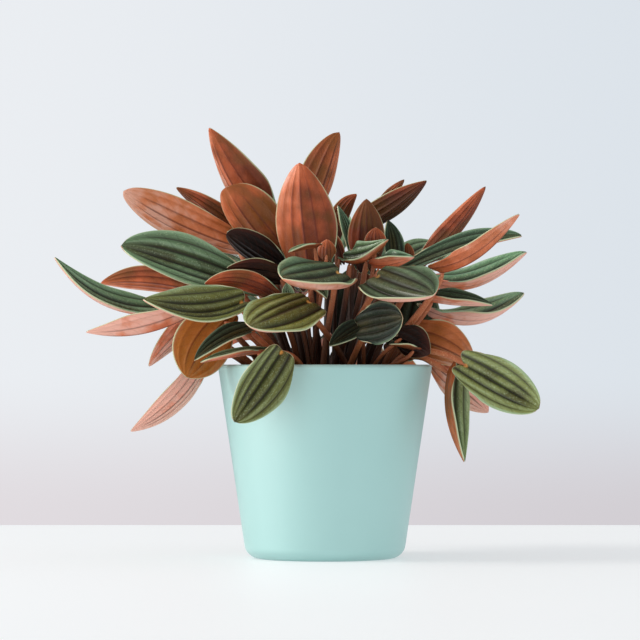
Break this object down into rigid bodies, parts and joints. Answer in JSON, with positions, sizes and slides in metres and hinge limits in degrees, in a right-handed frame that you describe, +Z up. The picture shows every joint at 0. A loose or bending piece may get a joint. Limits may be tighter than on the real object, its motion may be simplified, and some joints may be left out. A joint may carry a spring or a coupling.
{
  "type": "potted plant",
  "caption": "Potted peperomia with pleated pointed leaves, green above and coppery red below, on pinkish stalks that stand in soil in a round tapered glazed pot.",
  "frame": {"origin": "middle of the pot's flat underside, on the surface that it stands on", "axes": "+Z up along the pot's axis, -Y towards the viewer of the picture, +X to that viewer's right"},
  "size_m": [0.2695, 0.1947, 0.2412],
  "materials": {
    "pot": "satin glaze",
    "soil": "crumbly, matt",
    "leaf": "soft sheen, green above, coppery red below"
  },
  "bodies": {
    "root": {"pot": "pot", "soil": "soil", "leaf_top_1": "leaf", "leaf_top_2": "leaf", "leaf_top_3": "leaf", "leaf_top_4": "leaf", "leaf_top_5": "leaf", "leaf_top_6": "leaf", "leaf_top_7": "leaf", "leaf_top_8": "leaf", "leaf_left_1": "leaf", "leaf_left_2": "leaf", "leaf_left_3": "leaf", "leaf_left_4": "leaf", "leaf_left_5": "leaf", "leaf_left_6": "leaf", "leaf_left_7": "leaf", "leaf_left_8": "leaf", "leaf_left_9": "leaf", "leaf_left_10": "leaf", "leaf_left_11": "leaf", "leaf_left_12": "leaf", "leaf_left_13": "leaf", "leaf_left_14": "leaf", "leaf_left_15": "leaf", "leaf_front_1": "leaf", "leaf_front_2": "leaf", "leaf_front_3": "leaf", "leaf_front_4": "leaf", "leaf_front_5": "leaf", "leaf_front_6": "leaf", "leaf_front_7": "leaf", "leaf_right_1": "leaf", "leaf_right_2": "leaf", "leaf_right_3": "leaf", "leaf_right_4": "leaf", "leaf_right_5": "leaf", "leaf_right_6": "leaf", "leaf_right_7": "leaf", "leaf_right_8": "leaf", "leaf_right_9": "leaf", "leaf_back_1": "leaf", "leaf_back_2": "leaf", "leaf_back_3": "leaf", "leaf_back_4": "leaf", "leaf_back_5": "leaf", "leaf_back_6": "leaf", "leaf_back_7": "leaf", "leaf_back_8": "leaf", "leaf_back_9": "leaf", "leaf_back_10": "leaf", "leaf_back_11": "leaf", "leaf_back_12": "leaf", "leaf_back_13": "leaf", "leaf_back_14": "leaf", "leaf_back_15": "leaf", "young_shoot_1": "leaf", "young_shoot_2": "leaf", "young_shoot_3": "leaf", "young_shoot_4": "leaf"}
  },
  "joints": []
}
